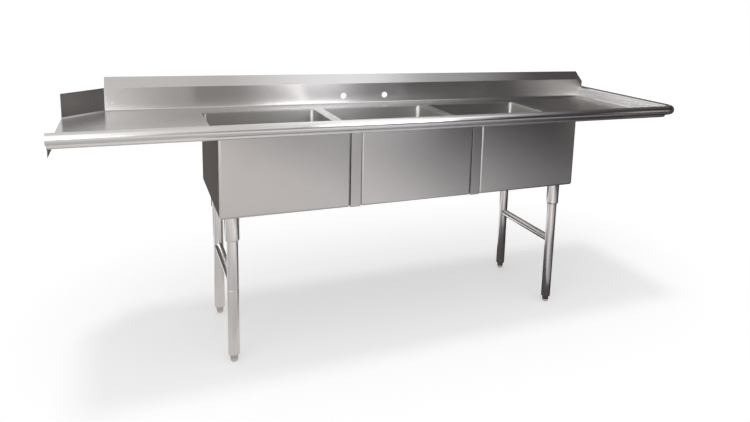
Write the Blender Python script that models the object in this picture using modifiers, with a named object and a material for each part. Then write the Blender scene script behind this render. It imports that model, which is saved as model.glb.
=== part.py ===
"""Three compartment sink with a drainboard at each end, as an assembly of sheet metal, tube and drain parts.

Metres, +Z up, +X along the sink to the right, +Y to the rear. The origin is on the floor, under the middle.
"""

import math

import bmesh
import bpy
from mathutils import Matrix, Vector

# Sheet metal
SHEET = 0.0016
SEAM = 0.0003
CUT_THROUGH = 0.016

# Bowls, measured outside
BOWL_NAMES = ("left", "middle", "right")
BOWL_WIDTH = 0.468
BOWL_REACH = 0.544
BOWL_DROP = 0.284
BOWL_CORNER = 0.010
BOWL_GAP = 0.040
FILLER_FLANGE = 0.014

# Deck and drainboards
DECK_HEIGHT = 0.854
LEFT_BOARD = 0.496
RIGHT_BOARD = 0.520
SIDE_STRIP = 0.020
FRONT_LEDGE = 0.0046
REAR_LEDGE = 0.119
HOOK_FLANGE = 0.029
CORNER_CUT = 0.143

# Rolled rim
RIM_HEIGHT = 0.054
ROLL_RADIUS = 0.020
ROLL_LIP_DEGREES = 50
COVE = 0.006
RIM_CORNER = 0.034

# Backsplash
SPLASH_HEIGHT = 0.0935
RETURN = 0.040
RETURN_LIP = 0.012
CLIP_ACROSS = 0.026
CLIP_DOWN = 0.030
FAUCET_HOLE = 0.028
FAUCET_SPACING = 0.2032
FAUCET_RISE = 0.036
SMALL_HOLE = 0.007
SMALL_HOLE_INSET = 0.027
SMALL_HOLE_RISE = 0.033

# Channels under the drainboards
CHANNEL_TOP = 0.050
CHANNEL_DEEP = 0.025
CHANNEL_FOOT = 0.018
CHANNEL_INSET = 0.150

# Legs
LEG_OUTER = 0.0413
LEG_WALL = 0.0014
LEG_INSET_X = 0.050
LEG_INSET_Y = 0.067
LEG_PLATE = 0.076
LEG_PLATE_THICK = 0.0025
SOCKET_OUTER = 0.053
SOCKET_HEIGHT = 0.097
SOCKET_TOP_WALL = 0.004
SOCKET_RELIEF = 0.006
LEG_SLACK = 0.0006
SET_SCREW = 0.008
SET_SCREW_PROUD = 0.002

# Side rails
RAIL_OUTER = 0.032
RAIL_WALL = 0.0014
RAIL_HEIGHT = 0.300

# Feet
FOOT_HEIGHT = 0.0245
FOOT_SHOULDER = 0.028
FOOT_TIP = 0.020
FOOT_NOSE = 0.0236
FOOT_NOSE_RISE = 0.002
FOOT_TAPER = 0.0265
FOOT_TAPER_RISE = 0.0055
FOOT_COLLAR_RISE = 0.009
FOOT_STEM = 0.012
INSERT_HEIGHT = 0.045
INSERT_LIP = 0.0055
INSERT_END = 0.033
STEM_SLACK = 0.0004

# Drains
DRAIN_HOLE = 0.089
DRAIN_FLANGE = 0.114
DRAIN_FLANGE_THICK = 0.002
DRAIN_CUP = 0.086
DRAIN_CUP_DEEP = 0.042
DRAIN_WALL = 0.0018
DRAIN_TAIL = 0.048
DRAIN_TAIL_LONG = 0.030
GASKET_THICK = 0.003
NUT_OUTER = 0.116
NUT_HEIGHT = 0.013
DRAIN_SLACK = 0.0005
BASKET_DEEP = 0.030
BASKET_LIP = 0.004
BASKET_ROUND = 0.008
BASKET_HOLES = 12
BASKET_HOLE = 0.006
BASKET_HOLE_RING = 0.0215
HOLE_OFFSET = 0.3
KNOB_HEIGHT = 0.022
KNOB_RADIUS = 0.011
KNOB_POST = 0.0036
KNOB_NECK = 0.012
KNOB_HEAD = 0.0155

# Facets
ARC_STEPS = 6
CORNER_STEPS = 4
COVE_STEPS = 3
TURN_STEPS = 24
SMALL_STEPS = 8

# Places worked out from the sizes above
BOWL_PITCH = BOWL_WIDTH + BOWL_GAP
BLOCK_LENGTH = len(BOWL_NAMES) * BOWL_PITCH - BOWL_GAP
TABLE_LENGTH = LEFT_BOARD + BLOCK_LENGTH + RIGHT_BOARD + 2 * ROLL_RADIUS
RETURN_BACK = RETURN + SHEET / math.sqrt(2)
TABLE_DEPTH = 2 * ROLL_RADIUS + FRONT_LEDGE + BOWL_REACH + REAR_LEDGE + RETURN_BACK
LEFT_END = -TABLE_LENGTH / 2
BLOCK_LEFT = LEFT_END + LEFT_BOARD
BLOCK_RIGHT = BLOCK_LEFT + BLOCK_LENGTH
END_WALL = BLOCK_RIGHT + RIGHT_BOARD
RIM_WALL = -TABLE_DEPTH / 2 + 2 * ROLL_RADIUS
BOWL_FRONT = RIM_WALL + FRONT_LEDGE
BOWL_REAR = BOWL_FRONT + BOWL_REACH
SPLASH_FACE = BOWL_REAR + REAR_LEDGE
BOWL_FLOOR = DECK_HEIGHT - BOWL_DROP
DECK_UNDER = DECK_HEIGHT - SHEET
RIM_CREST = DECK_HEIGHT + RIM_HEIGHT
SPLASH_BEND = DECK_HEIGHT + SPLASH_HEIGHT
DECK_FRONT = RIM_WALL + COVE + SEAM
DECK_REAR = SPLASH_FACE - COVE - SEAM
ANGLE_END = LEFT_END + CORNER_CUT
HALF_CORNER = math.tan(math.pi / 8)
BOWL_CENTRE_Y = (BOWL_FRONT + BOWL_REAR) / 2
SOCKET_TOP = BOWL_FLOOR - SEAM - LEG_PLATE_THICK - SEAM
SOCKET_BOTTOM = SOCKET_TOP - SOCKET_HEIGHT
LEG_BOTTOM = FOOT_HEIGHT + SEAM + INSERT_LIP + SEAM
LEG_TOP = SOCKET_TOP - SOCKET_TOP_WALL - SEAM

STEEL = (0.62, 0.61, 0.59, 1.0)
STEEL_DARK = (0.40, 0.39, 0.38, 1.0)
STEEL_BRIGHT = (0.72, 0.72, 0.71, 1.0)
RUBBER = (0.03, 0.03, 0.03, 1.0)


def new_collection(name):
    collection = bpy.data.collections.new(name)
    bpy.context.scene.collection.children.link(collection)
    return collection


for old in list(bpy.data.objects):
    bpy.data.objects.remove(old)
SINK = new_collection("three_compartment_sink")
CUTTERS = new_collection("sink_cutters")


def finish_material(name, colour, roughness, metallic):
    material = bpy.data.materials.new(name)
    material.use_nodes = True
    shader = material.node_tree.nodes["Principled BSDF"]
    shader.inputs["Base Color"].default_value = colour
    shader.inputs["Roughness"].default_value = roughness
    shader.inputs["Metallic"].default_value = metallic
    return material


def add_part(name, mesh, colour=STEEL, roughness=0.3, metallic=1.0):
    part = bpy.data.objects.new(name, mesh)
    SINK.objects.link(part)
    mesh.materials.append(finish_material(name, colour, roughness, metallic))
    return part


def add_cutter(name, mesh):
    cutter = bpy.data.objects.new(name, mesh)
    cutter.hide_render = True
    cutter.display_type = "WIRE"
    CUTTERS.objects.link(cutter)
    return cutter


def mesh_from(name, shape):
    mesh = bpy.data.meshes.new(name)
    shape.to_mesh(mesh)
    shape.free()
    return mesh


def cylinder_mesh(name, radius, length, steps=TURN_STEPS):
    shape = bmesh.new()
    bmesh.ops.create_cone(
        shape, cap_ends=True, segments=steps, radius1=radius, radius2=radius, depth=length
    )
    return mesh_from(name, shape)


def box_mesh(name, size, corner=0.0, keep_top_sharp=False):
    """A box centred on the origin, with its corners rounded where asked."""
    shape = bmesh.new()
    bmesh.ops.create_cube(shape, size=1.0)
    bmesh.ops.scale(shape, vec=size, verts=shape.verts)
    if corner:
        rounded = [edge for edge in shape.edges if upright(edge)]
        if not keep_top_sharp:
            rounded += [edge for edge in shape.edges if edge.verts[0].co.z < 0 and edge.verts[1].co.z < 0]
        bmesh.ops.bevel(
            shape, geom=rounded, offset=corner, segments=CORNER_STEPS, profile=0.5, affect="EDGES"
        )
    return mesh_from(name, shape)


def upright(edge):
    along = edge.verts[1].co - edge.verts[0].co
    return abs(along.z) > 0.9 * along.length


def cut(part, cutter):
    difference = part.modifiers.new("cut_" + cutter.name, "BOOLEAN")
    difference.operation = "DIFFERENCE"
    difference.object = cutter
    difference.solver = "EXACT"


def round_cutter(name, place, radius, length, axis="Z", steps=TURN_STEPS):
    cutter = add_cutter(name, cylinder_mesh(name, radius, length, steps))
    turn = Matrix.Rotation(math.pi / 2, 4, "X") if axis == "Y" else Matrix()
    cutter.matrix_world = Matrix.Translation(place) @ turn
    return cutter


def arc(centre, radius, start, end, steps=ARC_STEPS):
    """Points on an arc, in a plane of two coordinates. The angles are in degrees."""
    turns = [math.radians(start + (end - start) * i / steps) for i in range(steps + 1)]
    return [(centre[0] + radius * math.cos(a), centre[1] + radius * math.sin(a)) for a in turns]


def thicken(part, side, thickness=SHEET):
    solid = part.modifiers.new("sheet", "SOLIDIFY")
    solid.thickness = thickness
    solid.offset = side
    solid.use_even_offset = True
    solid.use_quality_normals = True


def folded_sheet(name, rows, side):
    """A sheet through rows of points. A point may be left out with None, and no face reaches it."""
    shape = bmesh.new()
    grid = [[shape.verts.new(point) if point else None for point in row] for row in rows]
    for row, following in zip(grid, grid[1:]):
        for i in range(len(row) - 1):
            corners = (row[i], row[i + 1], following[i + 1], following[i])
            if None not in corners:
                shape.faces.new(corners)
    part = add_part(name, mesh_from(name, shape))
    thicken(part, side)
    return part


def flat_sheet(name, outline, extra_faces=()):
    """A level sheet with its top at deck height, and folds that hang from its corners by index."""
    shape = bmesh.new()
    corners = [shape.verts.new((x, y, DECK_HEIGHT)) for x, y in outline]
    shape.faces.new(corners)
    for first, second, drop in extra_faces:
        low = [shape.verts.new(corners[i].co - Vector((0, 0, drop))) for i in (first, second)]
        shape.faces.new((corners[first], corners[second], low[1], low[0]))
    part = add_part(name, mesh_from(name, shape))
    thicken(part, -1)
    return part


def turned(name, profile, place, steps=TURN_STEPS, closed=False, **look):
    """A turned piece: the profile runs down its outer side at +X, and a closed one returns inside."""
    mesh = bpy.data.meshes.new(name)
    edges = [(i, i + 1) for i in range(len(profile) - 1)]
    if closed:
        edges.append((len(profile) - 1, 0))
    mesh.from_pydata([(r, 0.0, z) for r, z in profile], edges, [])
    part = add_part(name, mesh, **look)
    part.location = place
    spin = part.modifiers.new("turn", "SCREW")
    spin.axis = "Z"
    spin.angle = 2 * math.pi
    spin.steps = steps
    spin.render_steps = steps
    spin.use_merge_vertices = True
    spin.merge_threshold = 0.00001
    spin.use_smooth_shade = True
    return part


def rim_profile():
    """Points (n, z) on the rim's upper side: cove, wall, roll and lip. n runs outward from the wall."""
    centre = (ROLL_RADIUS, RIM_CREST - ROLL_RADIUS)
    cove = arc((-COVE, DECK_HEIGHT + COVE), COVE, -90, 0, COVE_STEPS)
    roll = arc(centre, ROLL_RADIUS, 180, -90 - ROLL_LIP_DEGREES, 3 * ARC_STEPS)
    return cove + roll


def build_rims():
    profile = rim_profile()
    corner_x = END_WALL - RIM_CORNER
    corner_y = RIM_WALL + RIM_CORNER
    half = SEAM / 2

    def front(x):
        return [(x, RIM_WALL - n, z) for n, z in profile]

    def turned_corner(angle):
        reach = [RIM_CORNER + n for n, _ in profile]
        return [
            (corner_x + r * math.cos(angle), corner_y + r * math.sin(angle), z)
            for r, (_, z) in zip(reach, profile)
        ]

    def end(y):
        return [(END_WALL + n, y, z) for n, z in profile]

    folded_sheet("front_rim", [front(LEFT_END), front(corner_x - half)], -1)
    skip = half / RIM_CORNER
    stations = [-math.pi / 2 + skip + (math.pi / 2 - 2 * skip) * i / ARC_STEPS for i in range(ARC_STEPS + 1)]
    folded_sheet("corner_rim", [turned_corner(a) for a in stations], -1)
    mitred = [(END_WALL + n, SPLASH_FACE - SEAM + min(n, 0.0), z) for n, z in profile]
    rear = [(END_WALL + n, SPLASH_FACE + RETURN, z) if n >= -SEAM else None for n, z in profile]
    folded_sheet("end_rim", [end(corner_y + half), mitred, rear], -1)


def build_deck():
    left = BLOCK_LEFT - SIDE_STRIP
    right = BLOCK_RIGHT + SIDE_STRIP
    deck = flat_sheet(
        "bowl_deck", [(left, DECK_FRONT), (right, DECK_FRONT), (right, DECK_REAR), (left, DECK_REAR)]
    )
    for i, name in enumerate(BOWL_NAMES):
        size = (BOWL_WIDTH - 2 * SHEET, BOWL_REACH - 2 * SHEET, CUT_THROUGH)
        opening = add_cutter(
            f"{name}_opening", box_mesh(f"{name}_opening", size, BOWL_CORNER - SHEET, keep_top_sharp=True)
        )
        opening.location = (bowl_centre(i), BOWL_CENTRE_Y, DECK_HEIGHT)
        cut(deck, opening)


def build_left_board():
    inside = COVE + SEAM
    flat_sheet(
        "left_drainboard",
        [
            (LEFT_END, DECK_FRONT),
            (BLOCK_LEFT - SIDE_STRIP - SEAM, DECK_FRONT),
            (BLOCK_LEFT - SIDE_STRIP - SEAM, DECK_REAR),
            (ANGLE_END + inside * HALF_CORNER, DECK_REAR),
            (LEFT_END, SPLASH_FACE - CORNER_CUT - inside * math.sqrt(2)),
        ],
        [(0, 4, HOOK_FLANGE)],
    )


def build_right_board():
    left = BLOCK_RIGHT + SIDE_STRIP + SEAM
    right = END_WALL - COVE - SEAM
    radius = RIM_CORNER - COVE - SEAM
    corner = arc((END_WALL - RIM_CORNER, RIM_WALL + RIM_CORNER), radius, -90, 0)
    flat_sheet("right_drainboard", [(left, DECK_FRONT), *corner, (right, DECK_REAR), (left, DECK_REAR)])


def bowl_centre(i):
    return BLOCK_LEFT + i * BOWL_PITCH + BOWL_WIDTH / 2


def build_bowl(i, name):
    top = DECK_UNDER - SEAM
    size = (BOWL_WIDTH, BOWL_REACH, top - BOWL_FLOOR)
    mesh = box_mesh(f"{name}_bowl", size, BOWL_CORNER)
    shape = bmesh.new()
    shape.from_mesh(mesh)
    lid = [face for face in shape.faces if face.normal.z > 0.99]
    bmesh.ops.delete(shape, geom=lid, context="FACES_ONLY")
    shape.to_mesh(mesh)
    shape.free()
    bowl = add_part(f"{name}_bowl", mesh)
    bowl.location = (bowl_centre(i), BOWL_CENTRE_Y, (top + BOWL_FLOOR) / 2)
    thicken(bowl, -1)
    place = (bowl_centre(i), BOWL_CENTRE_Y, BOWL_FLOOR)
    cut(bowl, round_cutter(f"{name}_drain_hole", place, DRAIN_HOLE / 2, CUT_THROUGH))


def build_fillers():
    for i, side in enumerate(("left", "right")):
        start = BLOCK_LEFT + i * BOWL_PITCH + BOWL_WIDTH + SEAM
        stop = start + BOWL_GAP - 2 * SEAM
        plan = [
            (start, BOWL_FRONT + FILLER_FLANGE),
            (start, BOWL_FRONT),
            (stop, BOWL_FRONT),
            (stop, BOWL_FRONT + FILLER_FLANGE),
        ]
        rows = [[(x, y, z) for x, y in plan] for z in (BOWL_FLOOR, DECK_UNDER - SEAM)]
        folded_sheet(f"{side}_filler_strip", rows, -1)


def mitre(point, first, second, reach):
    """The corner at this reach outside two edges, whose outward directions are given."""
    spread = 1 + first.dot(second)
    return point + (first + second) * (reach / spread)


def build_backsplash():
    right = END_WALL - SEAM
    clip = Vector((CLIP_DOWN, CLIP_ACROSS)).normalized()
    side, up = Vector((1, 0)), Vector((0, 1))
    start = ANGLE_END + SEAM / 2
    flange_foot = Vector((right, RIM_CREST + SEAM))
    low = Vector((right, SPLASH_BEND - CLIP_DOWN))
    high = Vector((right - CLIP_ACROSS, SPLASH_BEND))
    left = Vector((start, SPLASH_BEND))
    inner = [flange_foot, low, high, left]
    outer = [
        flange_foot + side * RETURN,
        mitre(low, side, clip, RETURN),
        mitre(high, clip, up, RETURN),
        left + up * RETURN,
    ]
    shape = bmesh.new()
    cove = arc((COVE, DECK_HEIGHT + COVE), COVE, -90, -180, COVE_STEPS)
    left_run = [shape.verts.new((start + n * HALF_CORNER, SPLASH_FACE - n, z)) for n, z in cove]
    right_run = [shape.verts.new((right - n, SPLASH_FACE - n, z)) for n, z in cove]
    for i in range(len(cove) - 1):
        shape.faces.new((left_run[i], right_run[i], right_run[i + 1], left_run[i + 1]))
    bend = [shape.verts.new((p.x, SPLASH_FACE, p.y)) for p in inner]
    edge = [shape.verts.new((p.x, SPLASH_FACE + RETURN, p.y)) for p in outer]
    shape.faces.new((left_run[-1], right_run[-1], *bend))
    for i in range(len(bend) - 1):
        shape.faces.new((bend[i + 1], bend[i], edge[i], edge[i + 1]))
    hem = [shape.verts.new(edge[i].co - Vector((0, 0, RETURN_LIP))) for i in (2, 3)]
    shape.faces.new((edge[3], edge[2], hem[0], hem[1]))
    splash = add_part("backsplash", mesh_from("backsplash", shape))
    thicken(splash, -1)
    middle = bowl_centre(1)
    holes = [
        ("left_faucet_hole", middle - FAUCET_SPACING / 2, FAUCET_RISE, FAUCET_HOLE),
        ("right_faucet_hole", middle + FAUCET_SPACING / 2, FAUCET_RISE, FAUCET_HOLE),
        ("small_hole", ANGLE_END + SMALL_HOLE_INSET, SMALL_HOLE_RISE, SMALL_HOLE),
    ]
    for name, x, rise, width in holes:
        place = (x, SPLASH_FACE, DECK_HEIGHT + rise)
        cut(splash, round_cutter(name, place, width / 2, CUT_THROUGH, "Y"))


def build_angled_panel():
    """The panel runs at 45 degrees from the left end to the backsplash. n is the distance in front of it."""
    profile = arc((COVE, DECK_HEIGHT + COVE), COVE, -90, -180, COVE_STEPS) + [(0.0, SPLASH_BEND)]
    along = Vector((1, 1, 0)).normalized()
    ahead = Vector((1, -1, 0)).normalized()
    corner = Vector((LEFT_END, SPLASH_FACE - CORNER_CUT, 0))
    length = CORNER_CUT * math.sqrt(2) - SEAM / 2

    def point(n, z, run):
        return corner + ahead * n + along * run + Vector((0, 0, z))

    rows = [
        [point(n, z, SHEET - n) for n, z in profile],
        [point(n, z, length - n * HALF_CORNER) for n, z in profile],
    ]
    folded_sheet("angled_splash_panel", rows, 1)


def build_channel(name, centre):
    top = DECK_UNDER - SEAM
    half = CHANNEL_TOP / 2
    section = [
        (-half - CHANNEL_FOOT, top),
        (-half, top),
        (-half, top - CHANNEL_DEEP),
        (half, top - CHANNEL_DEEP),
        (half, top),
        (half + CHANNEL_FOOT, top),
    ]
    ends = (DECK_FRONT + CHANNEL_INSET, DECK_REAR - CHANNEL_INSET)
    rows = [[(centre + x, y, z) for x, z in section] for y in ends]
    folded_sheet(name, rows, -1)


def leg_places():
    for depth, y in (("front", BOWL_FRONT + LEG_INSET_Y), ("rear", BOWL_REAR - LEG_INSET_Y)):
        for side, x in (("left", BLOCK_LEFT + LEG_INSET_X), ("right", BLOCK_RIGHT - LEG_INSET_X)):
            yield f"{depth}_{side}", x, y, 1 if depth == "rear" else -1


def build_leg(corner, x, y, toward):
    plate = add_part(f"{corner}_leg_plate", box_mesh("leg_plate", (LEG_PLATE, LEG_PLATE, LEG_PLATE_THICK)))
    plate.location = (x, y, BOWL_FLOOR - SEAM - LEG_PLATE_THICK / 2)
    bore = LEG_OUTER / 2 + LEG_SLACK
    outer = SOCKET_OUTER / 2
    ceiling = SOCKET_TOP - SOCKET_TOP_WALL
    profile = [
        (0.0, SOCKET_TOP),
        (outer, SOCKET_TOP),
        (outer, SOCKET_BOTTOM + SOCKET_RELIEF),
        (bore + (outer - bore) / 2, SOCKET_BOTTOM),
        (bore, SOCKET_BOTTOM),
        (bore, ceiling),
        (0.0, ceiling),
    ]
    socket = turned(f"{corner}_leg_socket", profile, (x, y, 0), colour=STEEL_BRIGHT)
    screw_y = y - toward * (bore + outer) / 2
    screw_z = SOCKET_BOTTOM + SOCKET_HEIGHT / 3
    screw_long = outer - bore + SET_SCREW_PROUD - SEAM
    screw_mesh = cylinder_mesh("set_screw", SET_SCREW / 2 - SEAM, screw_long, SMALL_STEPS)
    screw = add_part(f"{corner}_set_screw", screw_mesh, STEEL_DARK, 0.4)
    push = -toward * (bore + SEAM + screw_long / 2)
    screw.matrix_world = Matrix.Translation((x, y + push, screw_z)) @ Matrix.Rotation(math.pi / 2, 4, "X")
    hole_long = outer - bore + SET_SCREW
    hole_place = (x, screw_y, screw_z)
    hole = round_cutter(f"{corner}_screw_hole", hole_place, SET_SCREW / 2, hole_long, "Y", SMALL_STEPS)
    cut(socket, hole)
    r = LEG_OUTER / 2
    tube = [(r, LEG_TOP), (r, LEG_BOTTOM), (r - LEG_WALL, LEG_BOTTOM), (r - LEG_WALL, LEG_TOP)]
    turned(f"{corner}_leg", tube, (x, y, 0), closed=True)


def build_foot(corner, x, y):
    plug = LEG_OUTER / 2 - LEG_WALL - SEAM
    stem = FOOT_STEM / 2
    bore = stem + STEM_SLACK
    lip_low = FOOT_HEIGHT + SEAM
    lip_high = lip_low + INSERT_LIP
    insert = [
        (plug, LEG_BOTTOM + INSERT_HEIGHT),
        (plug, lip_high),
        (LEG_OUTER / 2, lip_high),
        (INSERT_END / 2, lip_low),
        (bore, lip_low),
        (bore, LEG_BOTTOM + INSERT_HEIGHT),
    ]
    turned(f"{corner}_foot_insert", insert, (x, y, 0), closed=True, colour=STEEL_DARK)
    shoulder = FOOT_SHOULDER / 2
    stem_top = lip_low + INSERT_HEIGHT - 2 * SEAM
    foot = [
        (0.0, stem_top),
        (stem, stem_top),
        (stem, FOOT_HEIGHT),
        (shoulder, FOOT_HEIGHT),
        (shoulder, FOOT_COLLAR_RISE),
        (FOOT_TAPER / 2, FOOT_TAPER_RISE),
        (FOOT_NOSE / 2, FOOT_NOSE_RISE),
        (FOOT_TIP / 2, 0.0),
        (0.0, 0.0),
    ]
    turned(f"{corner}_foot", foot, (x, y, 0), colour=STEEL_BRIGHT)


def build_side_rail(side, x):
    front = BOWL_FRONT + LEG_INSET_Y
    rear = BOWL_REAR - LEG_INSET_Y
    middle = (x, (front + rear) / 2, RAIL_HEIGHT)
    rail = add_part(f"{side}_side_rail", cylinder_mesh("side_rail", RAIL_OUTER / 2, rear - front))
    rail.matrix_world = Matrix.Translation(middle) @ Matrix.Rotation(math.pi / 2, 4, "X")
    bore = RAIL_OUTER / 2 - RAIL_WALL
    cut(rail, round_cutter(f"{side}_rail_bore", middle, bore, rear - front + LEG_OUTER, "Y"))
    mouth = LEG_OUTER / 2 + SEAM
    for end, y in (("front", front), ("rear", rear)):
        cut(rail, round_cutter(f"{side}_{end}_mouth", (x, y, RAIL_HEIGHT), mouth, 2 * RAIL_OUTER))


def build_drain(name, x):
    y = BOWL_CENTRE_Y
    floor_top = BOWL_FLOOR + SHEET
    flange_low = floor_top + SEAM
    flange_top = flange_low + DRAIN_FLANGE_THICK
    cup = DRAIN_CUP / 2
    inside = cup - DRAIN_WALL
    cup_low = flange_low - DRAIN_CUP_DEEP
    tail = DRAIN_TAIL / 2
    bore = tail - DRAIN_WALL
    tail_low = cup_low - DRAIN_TAIL_LONG
    body = [
        (inside, flange_top),
        (DRAIN_FLANGE / 2, flange_top),
        (DRAIN_FLANGE / 2, flange_low),
        (cup, flange_low),
        (cup, cup_low),
        (tail, cup_low),
        (tail, tail_low),
        (bore, tail_low),
        (bore, cup_low + DRAIN_WALL),
        (inside, cup_low + DRAIN_WALL),
    ]
    turned(f"{name}_drain_body", body, (x, y, 0), closed=True, colour=STEEL_BRIGHT, roughness=0.2)
    hold = cup + DRAIN_SLACK
    gasket_top = BOWL_FLOOR - SEAM
    gasket_low = gasket_top - GASKET_THICK
    rim = DRAIN_FLANGE / 2
    ring = [(rim, gasket_top), (rim, gasket_low), (hold, gasket_low), (hold, gasket_top)]
    turned(f"{name}_drain_gasket", ring, (x, y, 0), closed=True, colour=RUBBER, roughness=0.8, metallic=0.0)
    nut_top = gasket_low - SEAM
    nut_low = nut_top - NUT_HEIGHT
    nut = [(NUT_OUTER / 2, nut_top), (NUT_OUTER / 2, nut_low), (hold, nut_low), (hold, nut_top)]
    turned(f"{name}_drain_nut", nut, (x, y, 0), closed=True, colour=STEEL_DARK, roughness=0.4)
    build_basket(name, (x, y, flange_top), inside)


def build_basket(name, place, seat):
    """The basket hangs by its lip on the drain flange, and its origin is at the flange top."""
    outer = seat - DRAIN_SLACK
    inside = outer - SHEET
    lip = seat + BASKET_LIP
    knob_low = -BASKET_DEEP + SHEET
    shell = [
        (0.0, knob_low + KNOB_HEIGHT),
        (KNOB_RADIUS, knob_low + KNOB_HEIGHT),
        (KNOB_RADIUS, knob_low + KNOB_HEAD),
        (KNOB_POST, knob_low + KNOB_NECK),
        (KNOB_POST, knob_low),
        (inside - BASKET_ROUND, knob_low),
        (inside, knob_low + BASKET_ROUND),
        (inside, SEAM + SHEET),
        (lip, SEAM + SHEET),
        (lip, SEAM),
        (outer, SEAM),
        (outer, -BASKET_DEEP + BASKET_ROUND),
        (outer - BASKET_ROUND, -BASKET_DEEP),
        (0.0, -BASKET_DEEP),
    ]
    basket = turned(f"{name}_basket", shell, place, colour=STEEL_BRIGHT, roughness=0.25)
    for i in range(BASKET_HOLES):
        angle = 2 * math.pi * (i + HOLE_OFFSET) / BASKET_HOLES
        spoke = Vector((math.cos(angle), math.sin(angle), 0)) * BASKET_HOLE_RING
        hole = Vector(place) + spoke - Vector((0, 0, BASKET_DEEP))
        hole_name = f"{name}_basket_hole_{i}"
        cut(basket, round_cutter(hole_name, hole, BASKET_HOLE / 2, CUT_THROUGH / 2, steps=SMALL_STEPS))


def build_sink():
    build_rims()
    build_deck()
    build_left_board()
    build_right_board()
    for i, name in enumerate(BOWL_NAMES):
        build_bowl(i, name)
        build_drain(name, bowl_centre(i))
    build_fillers()
    build_backsplash()
    build_angled_panel()
    build_channel("left_board_channel", (LEFT_END + BLOCK_LEFT) / 2)
    build_channel("right_board_channel", (BLOCK_RIGHT + END_WALL) / 2)
    for corner, x, y, toward in leg_places():
        build_leg(corner, x, y, toward)
        build_foot(corner, x, y)
    build_side_rail("left", BLOCK_LEFT + LEG_INSET_X)
    build_side_rail("right", BLOCK_RIGHT - LEG_INSET_X)


build_sink()
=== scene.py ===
"""Looks of a three compartment sink: brushed and polished stainless steel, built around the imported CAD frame.

Metres, +Z up, +X along the sink to the right, +Y to the rear, in the frame's own axes.
"""

import math

import bmesh
import bpy
from mathutils import Matrix, Vector


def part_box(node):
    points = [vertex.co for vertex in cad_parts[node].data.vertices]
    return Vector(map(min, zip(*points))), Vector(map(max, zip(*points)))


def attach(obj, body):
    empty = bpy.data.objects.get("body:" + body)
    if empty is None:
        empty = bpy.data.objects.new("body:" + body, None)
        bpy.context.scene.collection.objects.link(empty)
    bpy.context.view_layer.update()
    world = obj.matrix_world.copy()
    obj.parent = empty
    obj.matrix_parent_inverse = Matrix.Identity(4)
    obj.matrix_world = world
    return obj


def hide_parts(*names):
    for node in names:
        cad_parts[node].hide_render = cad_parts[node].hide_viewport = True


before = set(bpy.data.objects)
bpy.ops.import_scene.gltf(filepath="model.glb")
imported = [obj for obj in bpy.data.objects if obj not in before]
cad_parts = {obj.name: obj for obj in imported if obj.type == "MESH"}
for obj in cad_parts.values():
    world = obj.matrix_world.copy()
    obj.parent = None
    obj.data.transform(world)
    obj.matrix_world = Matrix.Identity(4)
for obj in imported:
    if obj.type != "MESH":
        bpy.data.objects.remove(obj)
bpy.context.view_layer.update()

MM = 0.001

# Sizes that the frame's boxes don't give
ROLL = 20 * MM
ROLL_LIP_ANGLE = -140
COVE = 6 * MM
RIM_TURN = 34 * MM
BOWL_CORNER = 10 * MM
BOWL_COVE = 19 * MM
BOWL_FLARE = 8 * MM
FLOOR_FALL = 3 * MM
TIGHTEST_CORNER = 0.4 * MM
DRAIN_HOLE = 44.5 * MM
DRAIN_CUP = 43 * MM
DRAIN_TAIL = 24 * MM
DRAIN_TAIL_LENGTH = 30 * MM
DRAIN_FLANGE = 2 * MM
RING_CLEARANCE = 0.5 * MM
BEND_SPREAD = 3 * MM
EDGE_SOFT = 0.6 * MM
TUBE_EDGE = 0.3 * MM
SOCKET_EDGE = 1.2 * MM
INSERT_EDGE = 0.6 * MM
FOOT_EDGE = 1.2 * MM
DRAIN_EDGE = 1.5 * MM
RING_EDGE = 1.0 * MM
KNOB_EDGE = 1.8 * MM
TUBE_WALL = 1.4 * MM
DRAIN_WALL = 1.8 * MM
SEAM = 0.3 * MM
LEG_SEAM_RISE = 252 * MM
LEG_SEAM = 0.5 * MM
SOCKET_CLEARANCE = 0.6 * MM
SOCKET_TAPER = 6 * MM
SOCKET_CAP = 4 * MM
INSERT_LIP = 5.5 * MM
INSERT_END = 16.5 * MM
INSERT_BORE = 6.4 * MM
FOOT_NECK = 24.5 * MM
THREAD_RADIUS = 6.0 * MM
THREAD_PITCH = 2.5 * MM
THREAD_DEPTH = 0.9 * MM
# Rounded nose of a foot: share of the shoulder's radius, and rise above the floor
FOOT_NOSE = ((0.714, 0.0), (0.843, 2.0 * MM), (0.946, 5.5 * MM), (1.0, 9.0 * MM))
BASKET_SHEET = 1.0 * MM
BASKET_LIP = 4.5 * MM
BASKET_COLUMNS = 28
HOLE_SHARE = 0.62
HOLE_SIDES = 8
# Set screw with a hexagon socket: shares of its radius and of its length from the outer end, and if six-sided
SCREW_PROFILE = (
    (0, 1, False),
    (1, 1, False),
    (1, 0.06, False),
    (0.9, 0, False),
    (0.55, 0, True),
    (0.55, 0.45, True),
    (0, 0.45, False),
)
# Lifting knob of a basket: radius and rise, in millimetres
KNOB_PROFILE = ((0, 0), (3.6, 0), (3.6, 13), (11, 16), (11, 22), (0, 22))
KNOB_RISE = 0.6 * MM
BEAD_RADIUS = 1.5 * MM
RIPPLE_SPACING = 1.6 * MM
LUG_COUNT = 8
LUG_DEPTH, LUG_WIDTH, LUG_SHORTER = 7 * MM, 9 * MM, 2 * MM

# Surface patterns, in millimetres and as shares
STROKE_MM = 240
SMUDGE_MM = 140
TINT_MM = 6
RUBBER_GRAIN_MM = 1.2
RUBBER_GRAIN_DEPTH_MM = 0.1
TONE_RANGE = (0.12, 0.36)
DULL_SHARE = 1.05
# Keeps the brushing direction defined on level faces
UPRIGHT_LEAN = -0.02

# Angles between faces of the CAD sheets, in degrees: cut edges are sharper than bends
CUT_EDGE = 65
BEND_EDGE = 40
SAME_PLANE = 0.5

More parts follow.
